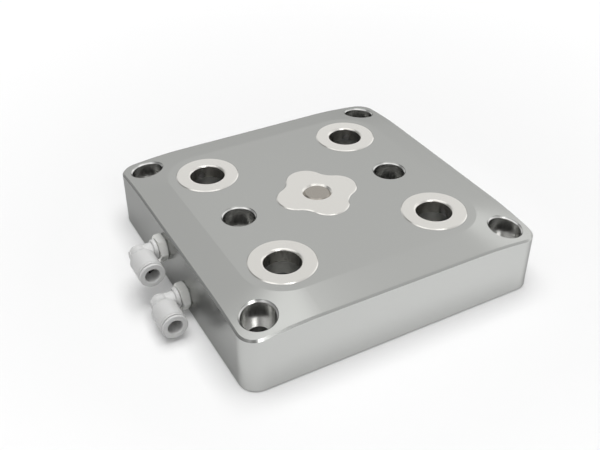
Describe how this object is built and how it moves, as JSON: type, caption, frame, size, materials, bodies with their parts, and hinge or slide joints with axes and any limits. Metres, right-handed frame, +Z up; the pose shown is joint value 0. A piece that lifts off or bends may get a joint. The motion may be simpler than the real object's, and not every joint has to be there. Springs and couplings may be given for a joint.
{
  "type": "pneumatic zero-point pallet",
  "caption": "Square zero-point clamping plate with bushed pull-stud sockets, an air-released spring clamp inside, sunk bolt holes and swivelling push-in tube elbows on one side.",
  "frame": {"origin": "middle of the base, in the plane the plate rests on, on the axis of the piston", "axes": "+Z up, away from the base and out of the sockets; -X is the side with the air fittings; the tube ports face -Y"},
  "size_m": [0.2022, 0.18, 0.04],
  "materials": {
    "housing_finish": "fine blasted, hard anodised grey",
    "cover_finish": "fine blasted, hard anodised grey",
    "ground_steel": "hardened and face ground",
    "plug_steel": "turned face",
    "hardened_steel": "hardened and ground, oiled",
    "piston_aluminium": "turned, hard anodised",
    "spring_steel": "spring wire",
    "black_screws": "black oxide",
    "seal_rubber": "nitrile rubber",
    "gasket_nylon": "light grey nylon sealing washer",
    "stud_nickel": "nickel plated, satin",
    "fitting_resin": "light grey moulded resin",
    "sleeve_resin": "light grey moulded resin"
  },
  "bodies": {
    "base": {"housing": "housing_finish", "centre_seat": "ground_steel", "seat_screws": "black_screws", "centre_plug": "plug_steel", "plug_seal": "seal_rubber", "base_cover": "cover_finish", "cover_seal": "seal_rubber", "cover_screws": "black_screws", "socket_bush_front_left": "ground_steel", "socket_bush_front_right": "ground_steel", "socket_bush_back_left": "ground_steel", "socket_bush_back_right": "ground_steel", "clamp_spring_right": "spring_steel", "clamp_spring_left": "spring_steel", "clamp_spring_back": "spring_steel", "clamp_spring_front": "spring_steel", "port_stud_upper": "stud_nickel", "port_gasket_upper": "gasket_nylon", "swivel_seal_upper": "seal_rubber", "port_stud_lower": "stud_nickel", "port_gasket_lower": "gasket_nylon", "swivel_seal_lower": "seal_rubber"},
    "piston_unit": {"piston": "piston_aluminium", "piston_seal": "seal_rubber", "wedge_block": "hardened_steel", "piston_screw": "black_screws"},
    "slide_front_left": {"lock_slide_front_left": "hardened_steel"},
    "slide_front_right": {"lock_slide_front_right": "hardened_steel"},
    "slide_back_left": {"lock_slide_back_left": "hardened_steel"},
    "slide_back_right": {"lock_slide_back_right": "hardened_steel"},
    "elbow_unit_upper": {"elbow_upper": "fitting_resin", "tube_seal_upper": "seal_rubber", "tube_grip_upper": "spring_steel"},
    "sleeve_upper": {"release_sleeve_upper": "sleeve_resin"},
    "elbow_unit_lower": {"elbow_lower": "fitting_resin", "tube_seal_lower": "seal_rubber", "tube_grip_lower": "spring_steel"},
    "sleeve_lower": {"release_sleeve_lower": "sleeve_resin"}
  },
  "joints": [
    {"name": "piston_lift", "type": "slide", "parent": "base", "child": "piston_unit", "axis": [0, 0, 1], "range_m": [0, 0.005], "stiffness_N_per_m": 8000, "springref_m": -0.006, "deforming": ["clamp_spring_right", "clamp_spring_left", "clamp_spring_back", "clamp_spring_front"]},
    {"name": "slide_travel_front_left", "type": "slide", "parent": "base", "child": "slide_front_left", "axis": [0.7071, 0.7071, 0], "range_m": [0, 0.0025]},
    {"name": "slide_travel_front_right", "type": "slide", "parent": "base", "child": "slide_front_right", "axis": [-0.7071, 0.7071, 0], "range_m": [0, 0.0025]},
    {"name": "slide_travel_back_left", "type": "slide", "parent": "base", "child": "slide_back_left", "axis": [0.7071, -0.7071, 0], "range_m": [0, 0.0025]},
    {"name": "slide_travel_back_right", "type": "slide", "parent": "base", "child": "slide_back_right", "axis": [-0.7071, -0.7071, 0], "range_m": [0, 0.0025]},
    {"name": "swivel_upper", "type": "hinge", "parent": "base", "child": "elbow_unit_upper", "pos_m": [-0.105, 0.01465, 0.0234], "axis": [1, 0, 0], "continuous": true},
    {"name": "sleeve_press_upper", "type": "slide", "parent": "elbow_unit_upper", "child": "sleeve_upper", "axis": [0, 1, 0], "range_m": [0, 0.0006], "stiffness_N_per_m": 1500, "springref_m": -0.0006},
    {"name": "swivel_lower", "type": "hinge", "parent": "base", "child": "elbow_unit_lower", "pos_m": [-0.105, -0.01465, 0.01], "axis": [1, 0, 0], "range_deg": [-75, 90]},
    {"name": "sleeve_press_lower", "type": "slide", "parent": "elbow_unit_lower", "child": "sleeve_lower", "axis": [0, 1, 0], "range_m": [0, 0.0006], "stiffness_N_per_m": 1500, "springref_m": -0.0006}
  ],
  "couplings": [
    {"joint": "slide_travel_front_left", "follows": "piston_lift", "ratio": 0.5},
    {"joint": "slide_travel_front_right", "follows": "piston_lift", "ratio": 0.5},
    {"joint": "slide_travel_back_left", "follows": "piston_lift", "ratio": 0.5},
    {"joint": "slide_travel_back_right", "follows": "piston_lift", "ratio": 0.5}
  ]
}
